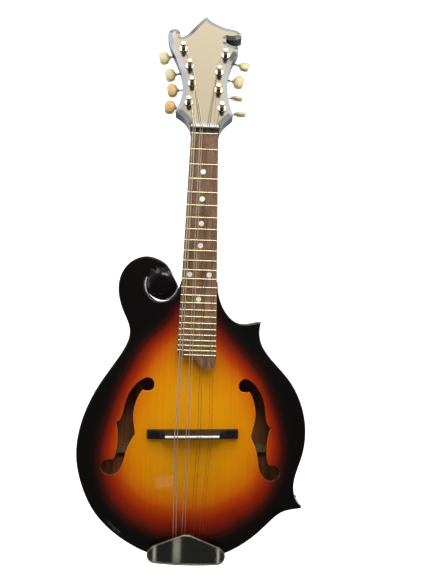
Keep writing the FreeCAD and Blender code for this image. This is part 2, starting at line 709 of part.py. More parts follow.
def tuner_worm():
    start, end = Vector(-4.4, WORM_DEPTH, WORM_OFFSET), Vector(BUTTON_REACH + 2, WORM_DEPTH, WORM_OFFSET)
    along = Vector(1, 0, 0)
    worm = rod(start, start + along * 8.8, WORM_CORE_R).fuse(rod(start + along * 8.8, end, SHAFT_R))
    threads = [rod(start + along * x, start + along * (x + 0.7), WORM_R) for x in (1.2, 2.7, 4.2, 5.7, 7.2)]
    return joined(worm, threads)


def tuner_button(turn):
    """An oval button, thinner than it is wide, on a short round neck."""
    centre = Vector(BUTTON_REACH, WORM_DEPTH, WORM_OFFSET)
    scale = FreeCAD.Matrix()
    scale.scale(BUTTON_HALF_LONG, BUTTON_HALF_THICK, BUTTON_HALF_WIDE)
    oval = Part.makeSphere(1).transformGeometry(scale)
    oval.rotate(Vector(0, 0, 0), Vector(1, 0, 0), turn)
    oval.translate(centre)
    inner = centre - Vector(BUTTON_HALF_LONG + 2.2, 0, 0)
    stem = Part.makeCone(2.1, 2.9, 3.4, inner, Vector(1, 0, 0))
    bore = rod(inner - Vector(1, 0, 0), centre + Vector(2.05, 0, 0), SHAFT_R + 0.03)
    return oval.fuse(stem).removeSplitter().cut(bore)


def tuner_housing():
    """The closed case round gear and worm, with a bush for the shaft and a screw lug."""
    case = box(-6.4, 6.4, 0, 9.4, -6.4, 9.2)
    upright = [edge for edge in case.Edges if abs(edge.Length - 9.4) < 0.01]
    case = case.makeFillet(2.0, upright)
    lug = along_depth(2.3, 0, 1.3)
    lug.translate(Vector(0, 0, LUG_DOWN))
    bush = rod(Vector(6.0, WORM_DEPTH, WORM_OFFSET), Vector(9.0, WORM_DEPTH, WORM_OFFSET), 2.3)
    case = joined(case, [lug, bush])
    hollow = box(-5.5, 5.5, 0.9, 8.5, -5.5, 8.3)
    outside = Vector(10, WORM_DEPTH, WORM_OFFSET)
    shaft_hole = rod(Vector(0, WORM_DEPTH, WORM_OFFSET), outside, SHAFT_R + HOLE_GAP)
    screw_hole = along_depth(SCREW_R + HOLE_GAP, -1, 3)
    screw_hole.translate(Vector(0, 0, LUG_DOWN))
    return without(case, [hollow, along_depth(POST_R + HOLE_GAP, -1, 2), shaft_hole, screw_hole])


def tuner_screw():
    screw = along_depth(SCREW_R, -SCREW_DEEP, 1.3).fuse(along_depth(1.9, 1.3, 2.3))
    screw = screw.removeSplitter().cut(box(-2.5, 2.5, 1.8, 3, -0.3, 0.3))
    screw.translate(Vector(0, 0, LUG_DOWN))
    return screw


def tuner_ferrule():
    sleeve = along_depth(FERRULE_BORE_R - 0.02, -HEAD_THICK, -4)
    flange = along_depth(FERRULE_R, -HEAD_THICK - 1.3, -HEAD_THICK)
    return flange.fuse(sleeve).removeSplitter().cut(along_depth(POST_R + HOLE_GAP, -30, 2))


def tuners():
    made = {}
    groups = {"tuner_housings": tuner_housing(), "tuner_screws": tuner_screw(),
              "tuner_ferrules": tuner_ferrule()}
    for name, shape in groups.items():
        made[name] = Part.makeCompound([tuner_placed(shape, tuner) for tuner in TUNERS])
    for number, tuner in enumerate(TUNERS, 1):
        made[f"tuner_{number}_post"] = tuner_placed(tuner_post(), tuner)
        made[f"tuner_{number}_worm"] = tuner_placed(tuner_worm(), tuner)
        made[f"tuner_{number}_button"] = tuner_placed(tuner_button(tuner[3]), tuner)
    return made


# ---------------------------------------------------------------- the whole mandolin
def mandolin():
    outline = body_outline()
    before_top = beyond_arch(RIM_FRONT - PLATE_THICK, -ARCH_FRONT)
    before_inside = beyond_arch(RIM_FRONT + 0.1, -ARCH_FRONT + 0.4)
    behind_back = beyond_arch(RIM_BACK + PLATE_THICK, ARCH_BACK)
    behind_inside = beyond_arch(RIM_BACK - 0.1, ARCH_BACK - 0.4)
    rims = rim_pieces(outline)
    rod_shape = neck_rod()
    made = {
        "top_plate": top_plate(outline, before_top, before_inside),
        "back_plate": back_plate(outline, behind_back, behind_inside),
        "front_linings": linings(outline, before_inside, RIM_FRONT, RIM_FRONT + 7),
        "back_linings": linings(outline, behind_inside, RIM_BACK - 7, RIM_BACK),
        "tone_bars": tone_bars(before_inside),
        "back_brace": back_brace(outline, behind_inside),
        "neck": neck(rod_shape),
        "neck_rod": rod_shape,
        "heel_cap": neck_shaft(HEEL_BACK, HEEL_BACK + 1.6),
        "headstock_overlay": headstock_overlay(),
        "fingerboard": fingerboard(),
        "fingerboard_riser": fingerboard_riser(before_top),
        "frets": frets(),
        "position_dots": position_dots(),
        "nut": nut(),
        "bridge": bridge(before_top),
        "saddle": bridge_placed(saddle_blank()),
        "tailpiece_base": tailpiece_base(before_top),
        "tailpiece_cover": tailpiece_cover(),
        "tailpiece_screws": tailpiece_screws(),
        "end_pin": end_pin(),
    }
    made.update(rims)
    made.update(blocks(outline, rims))
    made.update(strings())
    made.update(tuners())
    return made


os.makedirs("parts", exist_ok=True)
for node, shape in mandolin().items():
    save(node, shape)
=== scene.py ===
import json
import math

import bmesh
import bpy
import numpy as np
from mathutils import Matrix, Vector
from mathutils.geometry import delaunay_2d_cdt


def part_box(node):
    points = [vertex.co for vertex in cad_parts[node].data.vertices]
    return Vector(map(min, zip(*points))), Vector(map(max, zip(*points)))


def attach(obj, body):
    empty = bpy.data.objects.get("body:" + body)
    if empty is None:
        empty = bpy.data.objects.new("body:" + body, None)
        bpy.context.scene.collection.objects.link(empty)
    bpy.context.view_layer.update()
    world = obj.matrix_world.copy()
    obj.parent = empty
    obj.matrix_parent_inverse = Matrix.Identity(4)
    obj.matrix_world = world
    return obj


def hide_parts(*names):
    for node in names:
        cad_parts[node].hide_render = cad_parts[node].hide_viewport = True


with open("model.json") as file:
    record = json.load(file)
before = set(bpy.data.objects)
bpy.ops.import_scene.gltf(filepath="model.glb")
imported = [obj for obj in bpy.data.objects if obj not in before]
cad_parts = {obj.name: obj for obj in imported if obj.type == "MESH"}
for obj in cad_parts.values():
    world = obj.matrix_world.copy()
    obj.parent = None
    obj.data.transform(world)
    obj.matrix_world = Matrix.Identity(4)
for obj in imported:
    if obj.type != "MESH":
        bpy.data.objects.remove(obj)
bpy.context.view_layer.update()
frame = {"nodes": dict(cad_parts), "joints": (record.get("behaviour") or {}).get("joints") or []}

MM = 0.001
NODES = frame["nodes"]

# The carved plates, in millimetres, as in the CAD model.
ARCH_X, ARCH_Z = -3.0, -336.0
ARCH_HALF_WIDTH, ARCH_HALF_LENGTH = 118.0, 136.0
PLATE_THICK = 4.5
SCROLL_X, SCROLL_Z = -41.0, -170.0
SLOT_INNER = 17.4                   # where the scroll's slot starts, from its middle
DISC_R = 10.0                       # the scroll's flat disc
RING_DROP = 2.6                     # how far the ring round the disc slopes down to the slot
TOP_ROUND, BACK_ROUND, HOLE_ROUND = 1.6, 1.8, 0.35
ROUND_DEPTH = 0.9                   # how deep an edge's rounding goes, as a share of its width
OVERHANG = 4.0                      # the plates' inner faces are lacquered this far in from the edge
RIM_STEP, HOLE_STEP, PLATE_GRID = 1.6, 1.2, 3.2

# The headstock's face leans back from the neck's front.
BOARD_FRONT = -10.0
HEAD_TILT = math.radians(20)
HEAD_BEVEL, HEAD_BEVEL_DROP = 5.2, 1.5
OVERLAY_THICK = 2.0
OVERLAY_STEP, OVERLAY_GRID = 1.2, 3.0


# ---------------------------------------------------------------- shader helpers
def srgb(red, green, blue):
    """A display colour, 0 to 255, as the linear colour that a shader takes."""
    def linear(value):
        value /= 255
        return value / 12.92 if value <= 0.04045 else ((value + 0.055) / 1.055) ** 2.4
    return (linear(red), linear(green), linear(blue), 1.0)


class Shader:
    """A Principled material with a few shorthands for its nodes."""

    def __init__(self, name, **sockets):
        self.material = bpy.data.materials.new(name)
        self.material.use_nodes = True
        self.tree = self.material.node_tree
        self.surface = self.tree.nodes["Principled BSDF"]
        for socket, value in sockets.items():
            self.surface.inputs[socket.replace("_", " ")].default_value = value
        self.place = self.tree.nodes.new("ShaderNodeTexCoord").outputs["Object"]

    def node(self, kind, **settings):
        made = self.tree.nodes.new("ShaderNode" + kind)
        for name, value in settings.items():
            setattr(made, name, value)
        return made

    def plug(self, source, target):
        self.tree.links.new(source, target)

    def feed(self, source, socket):
        self.plug(source, self.surface.inputs[socket])

    def stretched(self, scale, rotation=(0, 0, 0)):
        mapping = self.node("Mapping")
        mapping.inputs["Scale"].default_value = scale
        mapping.inputs["Rotation"].default_value = rotation
        self.plug(self.place, mapping.inputs["Vector"])
        return mapping.outputs["Vector"]

    def noise(self, scale, detail=4.0, vector=None, rough=0.5):
        made = self.node("TexNoise")
        made.inputs["Scale"].default_value = scale
        made.inputs["Detail"].default_value = detail
        made.inputs["Roughness"].default_value = rough
        self.plug(vector or self.place, made.inputs["Vector"])
        return made.outputs["Fac"]

    def ramp(self, factor, stops):
        made = self.node("ValToRGB")
        band = made.color_ramp
        while len(band.elements) < len(stops):
            band.elements.new(0.5)
        for element, (position, colour) in zip(band.elements, stops):
            element.position = position
            element.color = colour
        self.plug(factor, made.inputs["Fac"])
        return made.outputs["Color"]

    def math(self, operation, first, second):
        made = self.node("Math", operation=operation)
        for socket, value in zip(made.inputs, (first, second)):
            if isinstance(value, (int, float)):
                socket.default_value = value
            else:
                self.plug(value, socket)
        return made.outputs[0]

    def mix(self, factor, first, second, blend="MIX"):
        made = self.node("Mix", data_type="RGBA", blend_type=blend)
        sockets = (made.inputs[0], made.inputs[6], made.inputs[7])    # the factor and the two colours
        for socket, value in zip(sockets, (factor, first, second)):
            if isinstance(value, (int, float, tuple)):
                socket.default_value = value
            else:
                self.plug(value, socket)
        return made.outputs[2]

    def bump(self, height, strength, distance):
        made = self.node("Bump")
        made.inputs["Strength"].default_value = strength
        made.inputs["Distance"].default_value = distance
        self.plug(height, made.inputs["Height"])
        self.plug(made.outputs["Normal"], self.surface.inputs["Normal"])


    def soft_edges(self, radius):
        """Shades the piece as if its edges were rounded."""
        made = self.node("Bevel", samples=6)
        made.inputs["Radius"].default_value = radius
        self.plug(made.outputs["Normal"], self.surface.inputs["Normal"])

    def height(self):
        """The place's height up the instrument, in millimetres."""
        apart = self.node("SeparateXYZ")
        self.plug(self.place, apart.inputs["Vector"])
        return self.math("MULTIPLY", apart.outputs["Z"], 1000.0)


def grey(value):
    return (value, value, value, 1.0)


# ---------------------------------------------------------------- materials
def lacquer(name, roughness=0.35):
    """The base of every lacquered piece: satin under a clear, glossy coat."""
    return Shader(name, Roughness=roughness, Specular_IOR_Level=0.1,
                  Coat_Weight=1.0, Coat_Roughness=0.04, Coat_IOR=1.4)


def sunburst(name, stops, flame):
    """Yellow in the middle, through orange and red to black at the edge, over the wood's grain."""
    shader = lacquer(name)
    edge = shader.node("Attribute", attribute_name="burst").outputs["Fac"]
    cloud = shader.noise(22.0, 3.0)
    wander = shader.math("MULTIPLY", shader.math("SUBTRACT", cloud, 0.5), 0.06)
    place = shader.math("ADD", edge, wander)
    colour = shader.ramp(place, stops)
    if flame:
        waves = shader.stretched((18.0, 18.0, 160.0), (0, math.radians(12), 0))
        figure = shader.noise(1.0, 2.0, waves)
        grain = shader.ramp(figure, [(0.38, grey(0.62)), (0.62, grey(1.0))])
    else:
        figure = shader.noise(1.0, 3.0, shader.stretched((620.0, 40.0, 6.0)))
        grain = shader.ramp(figure, [(0.35, grey(0.93)), (0.6, grey(1.0))])
    shader.feed(shader.mix(1.0, colour, grain, "MULTIPLY"), "Base Color")
    return shader.material


# The sunburst's colours, from the edge to the middle.
TOP_STOPS = [
    (0.00, srgb(8, 5, 5)), (0.083, srgb(22, 8, 7)), (0.167, srgb(62, 14, 6)),
    (0.285, srgb(150, 36, 2)), (0.389, srgb(190, 70, 0)), (0.47, srgb(212, 104, 0)),
    (0.66, srgb(228, 138, 0)), (1.00, srgb(240, 158, 0)),
]
BACK_STOPS = [
    (0.00, srgb(8, 6, 7)), (0.10, srgb(22, 9, 9)), (0.20, srgb(66, 18, 9)), (0.33, srgb(118, 42, 10)),
    (0.50, srgb(152, 74, 14)), (0.70, srgb(172, 96, 20)), (1.00, srgb(186, 114, 28)),
]


def dark_lacquered_wood(name, gloss):
    shader = lacquer(name)
    shader.surface.inputs["Coat Weight"].default_value = gloss
    shader.surface.inputs["Coat Roughness"].default_value = 0.12
    figure = shader.noise(1.0, 2.0, shader.stretched((30.0, 30.0, 120.0)))
    shader.feed(shader.ramp(figure, [(0.35, srgb(12, 8, 8)), (0.7, srgb(30, 15, 10))]), "Base Color")
    return shader.material


def black_lacquer():
    shader = Shader("black_lacquer", Roughness=0.3,
                    Coat_Weight=1.0, Coat_Roughness=0.07, Coat_IOR=1.7)
    haze = shader.noise(35.0, 3.0)
    shader.feed(shader.ramp(haze, [(0.3, srgb(10, 10, 11)), (0.7, srgb(17, 16, 17))]), "Base Color")
    return shader.material


def bare_wood(name, light, dark):
    shader = Shader(name, Roughness=0.7)
    grain = shader.noise(1.0, 4.0, shader.stretched((300.0, 90.0, 12.0)))
    shader.feed(shader.ramp(grain, [(0.35, dark), (0.65, light)]), "Base Color")
    shader.bump(grain, 0.2, 0.0002)
    return shader.material


NUT_SHADOW_FROM, NUT_SHADOW_TO = 1.3, 7.3      # painted shade between the fingerboard and the nut: the nut's cast shadow and its shaded lower wall, up it


def rosewood():
    """Brown with darker streaks and fine open pores, painted black beside the nut as the nut's cast shadow.
    """
    shader = Shader("rosewood", Roughness=0.45, Specular_IOR_Level=0.35)
    streaks = shader.noise(1.0, 5.0, shader.stretched((220.0, 220.0, 14.0)), 0.6)
    shades = [(0.30, srgb(94, 62, 46)), (0.50, srgb(126, 90, 68)), (0.72, srgb(152, 114, 88))]
    colour = shader.ramp(streaks, shades)
    pores = shader.noise(1.0, 2.0, shader.stretched((2400.0, 2400.0, 160.0)))
    pits = shader.ramp(pores, [(0.36, grey(0.45)), (0.46, grey(1.0))])
    wood = shader.mix(1.0, colour, pits, "MULTIPLY")
    # painted shadow: black where the nut's shadow falls on the fingerboard
    nut_shadow = shader.math("GREATER_THAN", shader.height(), NUT_SHADOW_FROM)
    shader.feed(shader.mix(nut_shadow, wood, srgb(14, 12, 12)), "Base Color")
    shader.bump(pits, 0.35, 0.0002)
    return shader.material


def ebony():
    shader = Shader("ebony", Roughness=0.4, Specular_IOR_Level=0.22)
    grain = shader.noise(1.0, 4.0, shader.stretched((40.0, 400.0, 400.0)))
    shader.feed(shader.ramp(grain, [(0.35, srgb(12, 10, 9)), (0.7, srgb(32, 25, 21))]), "Base Color")
    shader.soft_edges(0.0012)
    return shader.material


def metal(name, colour, roughness, streak=(200.0, 200.0, 200.0), wear=0.08, edge=0.0):
    shader = Shader(name, Metallic=1.0, Roughness=roughness)
    cloud = shader.noise(1.0, 4.0, shader.stretched(streak))
    duller = tuple(channel * 0.86 for channel in colour[:3]) + (1.0,)
    shader.feed(shader.ramp(cloud, [(0.35, duller), (0.65, colour)]), "Base Color")
    low, high = max(roughness - wear / 2, 0.02), roughness + wear
    shader.feed(shader.ramp(cloud, [(0.3, grey(low)), (0.7, grey(high))]), "Roughness")
    if edge:
        shader.soft_edges(edge)
    return shader.material


def wound_wire():
    """Bronze wire wound tightly round a core: fine rings along the string."""
    shader = Shader("wound_bronze", Metallic=1.0, Roughness=0.28)
    rings = shader.node("TexWave", wave_type="BANDS", bands_direction="Z")
    rings.inputs["Scale"].default_value = 1000.0
    shader.plug(shader.place, rings.inputs["Vector"])
    turns = rings.outputs["Fac"]
    shader.feed(shader.ramp(turns, [(0.0, srgb(140, 128, 108)), (1.0, srgb(206, 196, 174))]), "Base Color")
    shader.bump(turns, 0.4, 0.0001)
    return shader.material


def ivory(name, light, dark, roughness=0.32):
    shader = Shader(name, Roughness=roughness, Subsurface_Weight=0.15,
                    Coat_Weight=0.35, Coat_Roughness=0.15)
    shader.surface.inputs["Subsurface Radius"].default_value = (0.004, 0.003, 0.002)
    cloud = shader.noise(60.0, 4.0)
    shader.feed(shader.ramp(cloud, [(0.3, dark), (0.7, light)]), "Base Color")
    return shader.material


def nut_bone_and_shade():
    """Ivory at the top; the band under the strings' slots is painted black as shade on the nut's lower
    wall.
    """
    shader = Shader("nut_bone_and_shade", Roughness=0.4, Coat_Weight=0.3, Coat_Roughness=0.15)
    # painted shade: the nut's lower wall is black as if in shadow
    below = shader.math("LESS_THAN", shader.height(), NUT_SHADOW_TO)
    shader.feed(shader.mix(below, srgb(236, 230, 212), srgb(14, 12, 12)), "Base Color")
    return shader.material


def pearl():
    shader = Shader("pearl", Roughness=0.18, Coat_Weight=0.6, Coat_Roughness=0.05)
    swirl = shader.noise(420.0, 3.0, rough=0.7)
    stops = [(0.3, srgb(200, 214, 214)), (0.5, srgb(240, 240, 232)), (0.7, srgb(226, 206, 214))]
    shader.feed(shader.ramp(swirl, stops), "Base Color")
    return shader.material


MATERIALS = {
    "top": sunburst("sunburst_spruce", TOP_STOPS, flame=False),
    "back": sunburst("sunburst_maple", BACK_STOPS, flame=True),
    "dark_maple": dark_lacquered_wood("dark_lacquered_maple", 0.4),
    "neck_maple": dark_lacquered_wood("neck_lacquered_maple", 0.15),
    "black_lacquer": black_lacquer(),
    "inner_wood": bare_wood("inner_spruce", srgb(196, 158, 112), srgb(160, 122, 80)),
    "inner_brace": bare_wood("inner_brace", srgb(206, 172, 120), srgb(176, 140, 92)),
    "hole_edge": bare_wood("stained_edge", srgb(70, 36, 16), srgb(44, 22, 12)),
    "inner_maple": bare_wood("inner_maple", srgb(226, 146, 88), srgb(178, 110, 62)),
    "rosewood": rosewood(),
    "ebony": ebony(),
    "fret_silver": metal("fret_silver", srgb(206, 200, 168), 0.16, (8.0, 8.0, 8.0)),
    "chrome": metal("chrome", srgb(142, 142, 130), 0.09, (30.0, 30.0, 30.0), 0.03, 0.003),
    "nickel": metal("nickel", srgb(184, 182, 174), 0.14, edge=0.0004),
    "steel": metal("steel", srgb(150, 150, 152), 0.4),
    "plain_wire": metal("plain_wire", srgb(120, 100, 78), 0.25),
    "steel_wire": metal("steel_wire", srgb(190, 186, 176), 0.25),
    "wound_wire": wound_wire(),
    "ivory": ivory("ivory", srgb(206, 192, 152), srgb(188, 172, 128)),
    "amber_ivory": ivory("amber_ivory", srgb(192, 158, 92), srgb(168, 132, 70)),
    "bone": ivory("bone", srgb(240, 238, 228), srgb(226, 220, 204), 0.45),
    "nut_bone_and_shade": nut_bone_and_shade(),
    "pearl": pearl(),
}

NODE_MATERIALS = {
    "front_linings": "inner_wood", "back_linings": "inner_wood", "tone_bars": "inner_wood",
    "back_brace": "inner_brace", "neck": "neck_maple", "neck_rod": "steel", "heel_cap": "ebony",
    "fingerboard": "rosewood", "fingerboard_riser": "dark_maple", "frets": "fret_silver",
    "position_dots": "pearl", "nut": "nut_bone_and_shade", "bridge": "ebony", "saddle": "bone",
    "tailpiece_base": "chrome", "tailpiece_cover": "chrome", "tailpiece_screws": "nickel",
    "end_pin": "ebony", "rim_bass": "dark_maple", "rim_lower_treble": "dark_maple",
    "rim_middle_treble": "dark_maple", "rim_upper_treble": "dark_maple",
    "scroll_block": "dark_maple", "head_block": "dark_maple", "tail_block": "inner_wood",
    "point_blocks": "dark_maple", "string_g": "wound_wire", "string_d": "wound_wire",
    "string_a": "plain_wire", "string_e": "plain_wire", "tuner_housings": "nickel",
    "tuner_screws": "nickel", "tuner_ferrules": "nickel",
    "top_plate": "top", "back_plate": "back", "headstock_overlay": "black_lacquer",
}
for number in range(1, 9):
    NODE_MATERIALS[f"tuner_{number}_post"] = "nickel"
    NODE_MATERIALS[f"tuner_{number}_worm"] = "nickel"
    NODE_MATERIALS[f"tuner_{number}_button"] = "amber_ivory" if number in (1, 2) else "ivory"

for node, name in NODE_MATERIALS.items():
    thing = NODES[node]
    for slot in thing.material_slots:
        slot.material = MATERIALS[name]


# ---------------------------------------------------------------- mesh helpers
def welded(node):
    """The CAD node's vertices in millimetres, merged where they coincide, and its triangles."""
    mesh = NODES[node].data
    points, triangles, index = [], [], {}
    remap = []
    for vertex in mesh.vertices:
        key = tuple(round(c / MM, 3) for c in vertex.co)
        if key not in index:
            index[key] = len(points)
            points.append(key)
        remap.append(index[key])
    mesh.calc_loop_triangles()
    for triangle in mesh.loop_triangles:
        corners = [remap[v] for v in triangle.vertices]
        if len(set(corners)) == 3:
            triangles.append(corners)
    return np.array(points), triangles


def face_outlines(node, facing, least=0.8):
    """The closed borders of the part of a node that faces one way, as lists of 3-D points."""
    points, triangles = welded(node)
    facing = np.array(facing)
    borders = {}
    for a, b, c in triangles:
        normal = np.cross(points[b] - points[a], points[c] - points[a])
        size = np.linalg.norm(normal)
        if size < 1e-9 or normal @ facing < least * size:
            continue
        for start, end in ((a, b), (b, c), (c, a)):
            if (end, start) in borders:
                del borders[(end, start)]
            else:
                borders[(start, end)] = True
    following = {}
    for start, end in borders:
        following.setdefault(start, []).append(end)
    loops = []
    while following:
        start = next(iter(following))
        loop, here = [start], start
        while here in following:
            step = following[here].pop()
            if not following[here]:
                del following[here]
            if step == start:
                break
            loop.append(step)
            here = step
        if len(loop) > 8:
            loops.append(points[loop])
    return sorted(loops, key=len, reverse=True)


def resampled(loop, step):
    """A closed 2-D loop with long sides divided, so that no side is over the step."""
    out = []
    for here, there in zip(loop, np.roll(loop, -1, axis=0)):
        parts = max(1, math.ceil(np.linalg.norm(there - here) / step))
        out += [here + (there - here) * k / parts for k in range(parts)]
    return np.array(out)


def distance_to(loop, places):
    """The distance from each place to the nearest side of a closed 2-D loop."""
    best = np.full(len(places), 1e9)
    for here, there in zip(loop, np.roll(loop, -1, axis=0)):
        side = there - here
        share = np.clip(((places - here) @ side) / max(side @ side, 1e-12), 0, 1)
        best = np.minimum(best, np.linalg.norm(places - here - share[:, None] * side, axis=1))
    return best


def inside(loop, places):
    """Which places a closed 2-D loop encloses."""
    result = np.zeros(len(places), bool)
    for (x0, z0), (x1, z1) in zip(loop, np.roll(loop, -1, axis=0)):
        crosses = (z0 > places[:, 1]) != (z1 > places[:, 1])
        if z0 == z1:
            continue
        at = x0 + (places[:, 1] - z0) * (x1 - x0) / (z1 - z0)
        result ^= crosses & (places[:, 0] < at)
    return result


def offset_points(loop, distance):
    """Points beside a loop, on both sides of it, a given distance away."""
    along = np.roll(loop, -1, axis=0) - np.roll(loop, 1, axis=0)
    length = np.maximum(np.linalg.norm(along, axis=1), 1e-9)[:, None]
    across = np.stack([along[:, 1], -along[:, 0]], axis=1) / length
    return np.concatenate([loop + across * distance, loop - across * distance])


def triangulated(outer, holes, rings, spacing):
    """Fills an outline less its holes. Returns flat points and triangles."""
    loops = [outer] + holes
    low, high = outer.min(axis=0), outer.max(axis=0)
    grid = np.array([(x, z) for row, z in enumerate(np.arange(low[1], high[1], spacing * 0.87))
                     for x in np.arange(low[0] + (row % 2) * spacing / 2, high[0], spacing)])
    extra = [(grid, max(rings) + spacing * 0.4)]
    for ring in rings:
        extra.append((np.concatenate([offset_points(loop, ring) for loop in loops]), ring * 0.93))
    kept = []
    for places, room in extra:
        good = inside(outer, places)
        for hole in holes:
            good &= ~inside(hole, places)
        places = places[good]
        nearest = np.minimum.reduce([distance_to(loop, places) for loop in loops])
        kept.append(places[nearest > room])
    points, sides = [], []
    for loop in loops:
        first = len(points)
        points += [Vector(p) for p in loop]
        sides += [(first + k, first + (k + 1) % len(loop)) for k in range(len(loop))]
    points += [Vector(p) for p in np.concatenate(kept)]
    flat, _, faces, _, _, _ = delaunay_2d_cdt(points, sides, [], 0, 1e-5)
    flat = np.array([tuple(p) for p in flat])
    middles = np.array([flat[list(face)].mean(axis=0) for face in faces])
    good = inside(outer, middles)
    for hole in holes:
        good &= ~inside(hole, middles)
    return flat, [face for face, keep in zip(faces, good) if keep]


def new_piece(name, vertices, faces, material, body):
    mesh = bpy.data.meshes.new(name)
    mesh.from_pydata([tuple(v) for v in vertices], [], [tuple(f) for f in faces])
    mesh.validate()
    mesh.update()
    piece = bpy.data.objects.new(name, mesh)
    bpy.context.scene.collection.objects.link(piece)
    mesh.materials.append(MATERIALS[material])
    mesh.polygons.foreach_set("use_smooth", [True] * len(mesh.polygons))
    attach(piece, body)
    return piece


def slab(flat, faces, front, back):
    """A closed plate from a flat triangulation and its two surfaces' heights."""
    count = len(flat)
    vertices = [(x * MM, y * MM, z * MM) for (x, z), y in zip(flat, front)]
    vertices += [(x * MM, y * MM, z * MM) for (x, z), y in zip(flat, back)]
    borders = {}
    front_faces, back_faces, wall_faces = [], [], []
    for a, b, c in faces:
        (ax, az), (bx, bz), (cx, cz) = flat[a], flat[b], flat[c]
        if (bx - ax) * (cz - az) - (bz - az) * (cx - ax) < 0:
            a, c = c, a
        front_faces.append((a, b, c))
        back_faces.append((a + count, c + count, b + count))
        for start, end in ((a, b), (b, c), (c, a)):
            if (end, start) in borders:
                del borders[(end, start)]
            else:
                borders[(start, end)] = True
    for start, end in borders:
        wall_faces.append((end, start, start + count, end + count))
    return vertices, front_faces, back_faces, wall_faces


def sharp_edges(piece, degrees):
    """Shades smooth but keeps the edges that turn by more than an angle."""
    mesh = piece.data
    count = {}
    normals = [polygon.normal.copy() for polygon in mesh.polygons]
    for polygon in mesh.polygons:
        for key in polygon.edge_keys:
            count.setdefault(key, []).append(polygon.index)
    flags = []
    for edge in mesh.edges:
        sides = count.get(edge.key, [])
        turned = len(sides) == 2 and normals[sides[0]].angle(normals[sides[1]], 0.0) > math.radians(degrees)
        flags.append(turned)
    mesh.attributes.new("sharp_edge", "BOOLEAN", "EDGE").data.foreach_set("value", flags)


# ---------------------------------------------------------------- carved plates
def arch_height(places):
    """The share of the arch's full height at each place."""
    across = (places[:, 0] - ARCH_X) / ARCH_HALF_WIDTH
    along = (places[:, 1] - ARCH_Z) / ARCH_HALF_LENGTH
    return np.maximum(0.0, 1.0 - (across ** 2 + along ** 2)) ** 1.5


# Where the sunburst turns deep red, round the body, as x and z. It fades to black outside.
BURST_LINE = [(-20, -192), (-33, -210), (-56, -236), (-73, -263), (-86, -292), (-97, -328),
              (-102, -358), (-98, -385), (-89, -406), (-69, -426), (-38, -440), (-2, -445),
              (30, -439), (55, -424), (76, -408), (90, -386), (96, -357), (95, -333),
              (88, -302), (74, -272), (58, -251), (38, -229), (24, -212), (14, -194)]
BURST_OUT, BURST_SPAN = 12.0, 72.0
# Down the body the colours change more slowly: from where, over what length, and by what share.
TAIL_SLOW_FROM, TAIL_SLOW_OVER, TAIL_SLOWING = -335.0, 85.0, 0.48


def rounded(corners, parts):
    """A closed smooth line through the corners."""
    corners = np.array(corners, float)
    line = []
    for k in range(len(corners)):
        before, here, there, after = (corners[(k + step) % len(corners)] for step in (-1, 0, 1, 2))
        for t in np.arange(parts) / parts:
            slope = (there - before) * t
            bend = (2 * before - 5 * here + 4 * there - after) * t ** 2
            twist = (3 * (here - there) + after - before) * t ** 3
            line.append(here + 0.5 * (slope + bend + twist))
    return np.array(line)


def burst_value(places):
    """How far a place is inside the sunburst's line: 0 well outside, 1 in the yellow middle."""
    line = rounded(BURST_LINE, 6)
    depth = distance_to(line, places) * np.where(inside(line, places), 1, -1)
    near_tail = np.clip((TAIL_SLOW_FROM - places[:, 1]) / TAIL_SLOW_OVER, 0, 1)
    depth = np.where(depth > 0, depth * (1 - TAIL_SLOWING * near_tail), depth)
    return np.clip((depth + BURST_OUT) / BURST_SPAN, 0, 1)


def rounding(loop, places, width):
    """How far a rounded edge falls away at each place."""
    near = np.clip(width - distance_to(loop, places), 0, width)
    return (width - np.sqrt(width ** 2 - near ** 2)) * ROUND_DEPTH


def carved_plate(node, facing, edge_round, lacquered, bare):
    """A plate as it is carved: arched, with soft edges and the scroll's sloping ring."""
    loops = face_outlines(node, (0, facing, 0))
    outer = resampled(loops[0][:, [0, 2]], RIM_STEP)
    holes = [resampled(loop[:, [0, 2]], HOLE_STEP) for loop in loops[1:]]
    rings = [edge_round * 0.25, edge_round * 0.6, edge_round]
    flat, faces = triangulated(outer, holes, rings, PLATE_GRID)
    low, high = (corner[1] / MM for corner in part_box(node))
    inner, rise = (high, high - PLATE_THICK - low) if facing < 0 else (low, high - low - PLATE_THICK)
    base = inner + facing * PLATE_THICK
    arch = arch_height(flat)
    outside = base + facing * rise * arch
    outside -= facing * rounding(outer, flat, edge_round)
    for hole in holes:
        outside -= facing * rounding(hole, flat, HOLE_ROUND)
    from_middle = np.linalg.norm(flat - (SCROLL_X, SCROLL_Z), axis=1)
    ring = np.clip((from_middle - DISC_R) / (SLOT_INNER - DISC_R), 0, 1)
    ring = np.where(from_middle < SLOT_INNER + 0.3, ring, 0.0)
    outside -= facing * RING_DROP * ring
    within = inner + facing * (rise - 0.4) * arch
    vertices, fronts, backs, walls = slab(flat, faces, outside, within)
    faces = fronts + backs + walls
    if facing > 0:
        faces = [tuple(reversed(face)) for face in faces]
    piece = new_piece("carved_" + node, vertices, faces, lacquered, "root")
    piece.data.materials.append(MATERIALS[bare])
    piece.data.materials.append(MATERIALS["hole_edge"])
    rim = distance_to(outer, np.array([flat[face[0]] for face in walls])) < 0.3
    overhang = distance_to(outer, flat[np.array(fronts)].mean(axis=1)) < OVERHANG
    kinds = [0] * len(fronts)
    kinds += [0 if out else 1 for out in overhang]
    kinds += [0 if on_rim else 2 for on_rim in rim]
    piece.data.polygons.foreach_set("material_index", kinds)
    sharp_edges(piece, 40)
    burst = piece.data.attributes.new("burst", "FLOAT", "POINT")
    values = burst_value(flat)
    burst.data.foreach_set("value", np.concatenate([values, values]).astype(np.float32))
    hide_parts(node)


carved_plate("top_plate", -1, TOP_ROUND, "top", "inner_wood")
carved_plate("back_plate", 1, BACK_ROUND, "back", "inner_maple")


# ---------------------------------------------------------------- headstock's face
def head_frame():
    """The headstock's own frame: X across, Y back from its face, Z up it."""
    turn = Matrix.Rotation(-HEAD_TILT, 4, "X")
    return Matrix.Translation((0, BOARD_FRONT * MM, 0)) @ turn


